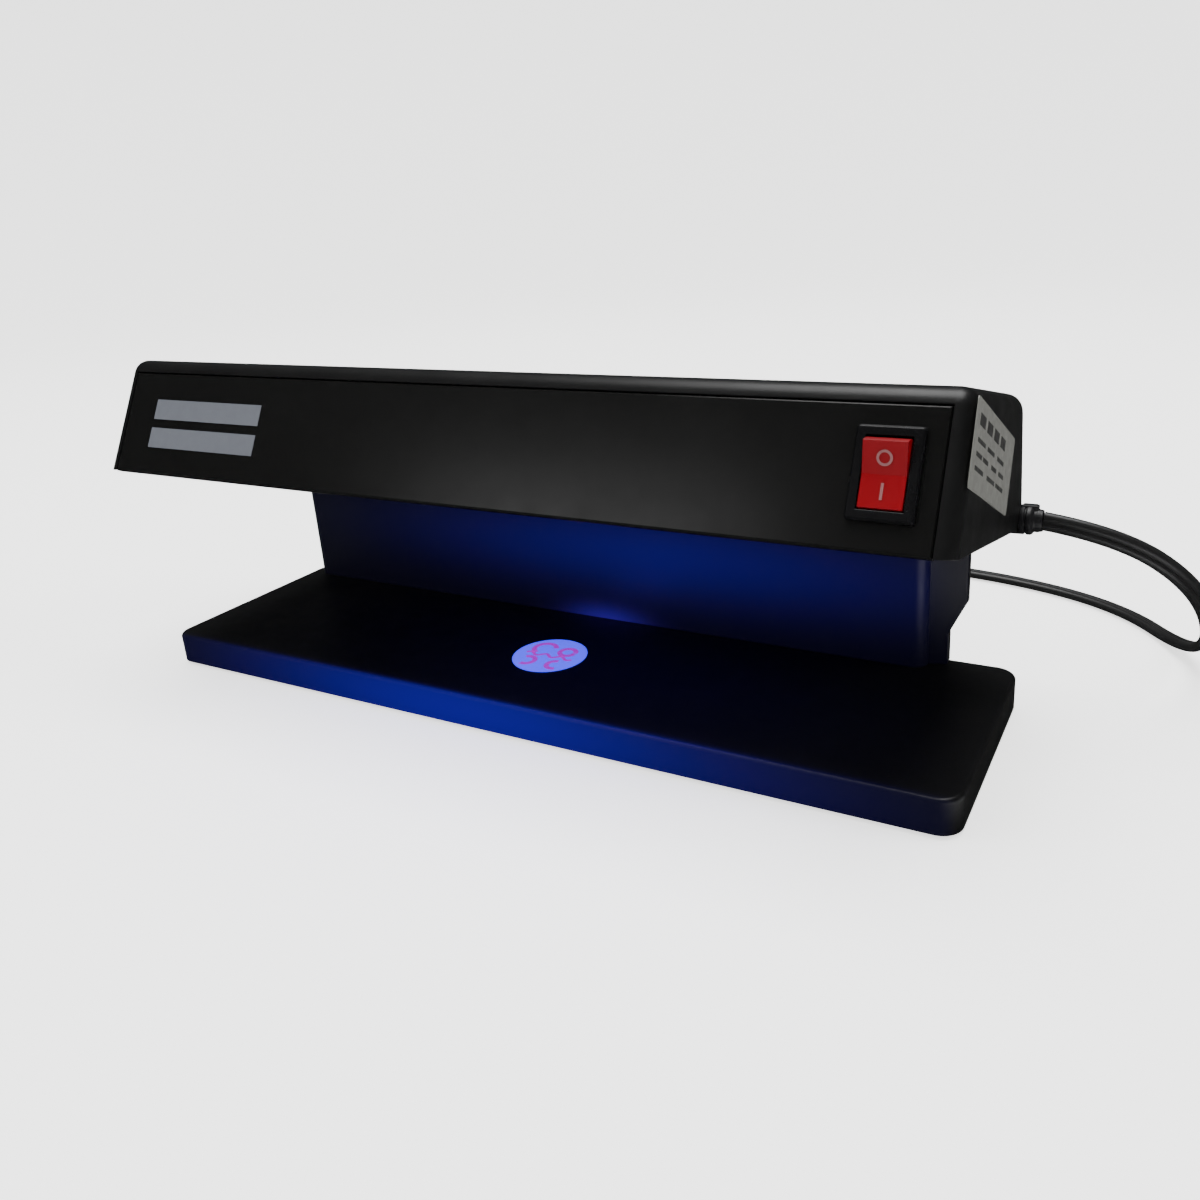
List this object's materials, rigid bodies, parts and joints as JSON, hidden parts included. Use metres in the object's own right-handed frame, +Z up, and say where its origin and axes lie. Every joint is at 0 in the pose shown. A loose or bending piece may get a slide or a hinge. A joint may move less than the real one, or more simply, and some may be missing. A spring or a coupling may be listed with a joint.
{
  "type": "counterfeit bill detector",
  "caption": "Tabletop ultraviolet banknote detector: flat base, thin rear column, long tilted hood with a blacklight tube, rocker switch and mains lead.",
  "frame": {"origin": "on the table, under the middle of the box round the housing, the lead left out", "axes": "+X to the right of a person in front, +Y towards the back, +Z up"},
  "size_m": [0.3231, 0.1908, 0.1065],
  "materials": {
    "shell_black": "satin moulded ABS, near black",
    "panel_black": "satin black front panel",
    "tray_black": "moulded black",
    "foot_rubber": "moulded rubber",
    "screw_black": "blackened steel",
    "screw_zinc": "zinc plated",
    "print_grey": "printed light grey ink",
    "label_silver": "silver film label",
    "sticker_fluorescent": "fluorescent film, violet-blue under the lamp",
    "reflector_white": "white enamel",
    "holder_white": "moulded white",
    "tube_glass": "blacklight blue glass",
    "cap_aluminium": "drawn",
    "pin_brass": "plain",
    "switch_black": "moulded nylon, black",
    "rocker_red": "translucent red",
    "mark_white": "printed",
    "terminal_brass": "plated",
    "board_tan": "phenolic board",
    "ferrite": "ferrite core",
    "winding_yellow": "taped winding",
    "capacitor_black": "sleeved can",
    "film_red": "dipped film capacitor",
    "resistor_blue": "coated",
    "wire_white": "PVC",
    "wire_brown": "PVC",
    "wire_blue": "PVC",
    "cord_black": "flat two-core PVC lead",
    "relief_black": "moulded nylon bushing",
    "plug_black": "moulded PVC",
    "plug_pin_brass": "nickelled, sleeved"
  },
  "bodies": {
    "housing": {"ballast_board": "board_tan", "base_cover": "shell_black", "base_plate": "shell_black", "base_screws": "screw_zinc", "board_screws": "screw_zinc", "choke_core": "ferrite", "choke_winding": "winding_yellow", "column_front": "shell_black", "column_screws": "screw_zinc", "cord_coil": "cord_black", "cord_tail": "cord_black", "film_capacitors": "film_red", "front_panel": "panel_black", "fuse_resistor": "resistor_blue", "holder_screws": "screw_zinc", "hood": "shell_black", "lamp_holder_left": "holder_white", "lamp_holder_right": "holder_white", "lamp_tray": "tray_black", "lamp_wire_left_1": "wire_white", "lamp_wire_left_2": "wire_white", "lamp_wire_right_1": "wire_white", "lamp_wire_right_2": "wire_white", "live_wire": "wire_brown", "neutral_wire": "wire_blue", "panel_screws": "screw_zinc", "plug_body": "plug_black", "plug_pins": "plug_pin_brass", "power_cord": "cord_black", "printed_bars": "print_grey", "rear_cover": "shell_black", "rear_cover_screws": "screw_black", "reflector": "reflector_white", "reflector_screws": "screw_zinc", "rubber_feet": "foot_rubber", "side_label": "label_silver", "smoothing_capacitor": "capacitor_black", "strain_relief": "relief_black", "switch_body": "switch_black", "switch_terminals": "terminal_brass", "switched_wire": "wire_brown", "test_sticker": "sticker_fluorescent", "transistors": "capacitor_black", "tray_screws": "screw_black"},
    "rocker": {"rocker": "rocker_red", "rocker_marks": "mark_white"},
    "lamp": {"uv_tube": "tube_glass", "tube_cap_left": "cap_aluminium", "tube_cap_right": "cap_aluminium", "tube_pins": "pin_brass", "holder_rotor_left": "holder_white", "holder_rotor_right": "holder_white"}
  },
  "joints": [
    {"name": "rocker_hinge", "type": "hinge", "parent": "housing", "child": "rocker", "pos_m": [0.1189, -0.03555, 0.08927], "axis": [-1, 0, 0], "range_deg": [0, 22]},
    {"name": "lamp_twist", "type": "hinge", "parent": "housing", "child": "lamp", "pos_m": [0, -0.02285, 0.0856], "axis": [1, 0, 0], "range_deg": [0, 90]}
  ]
}
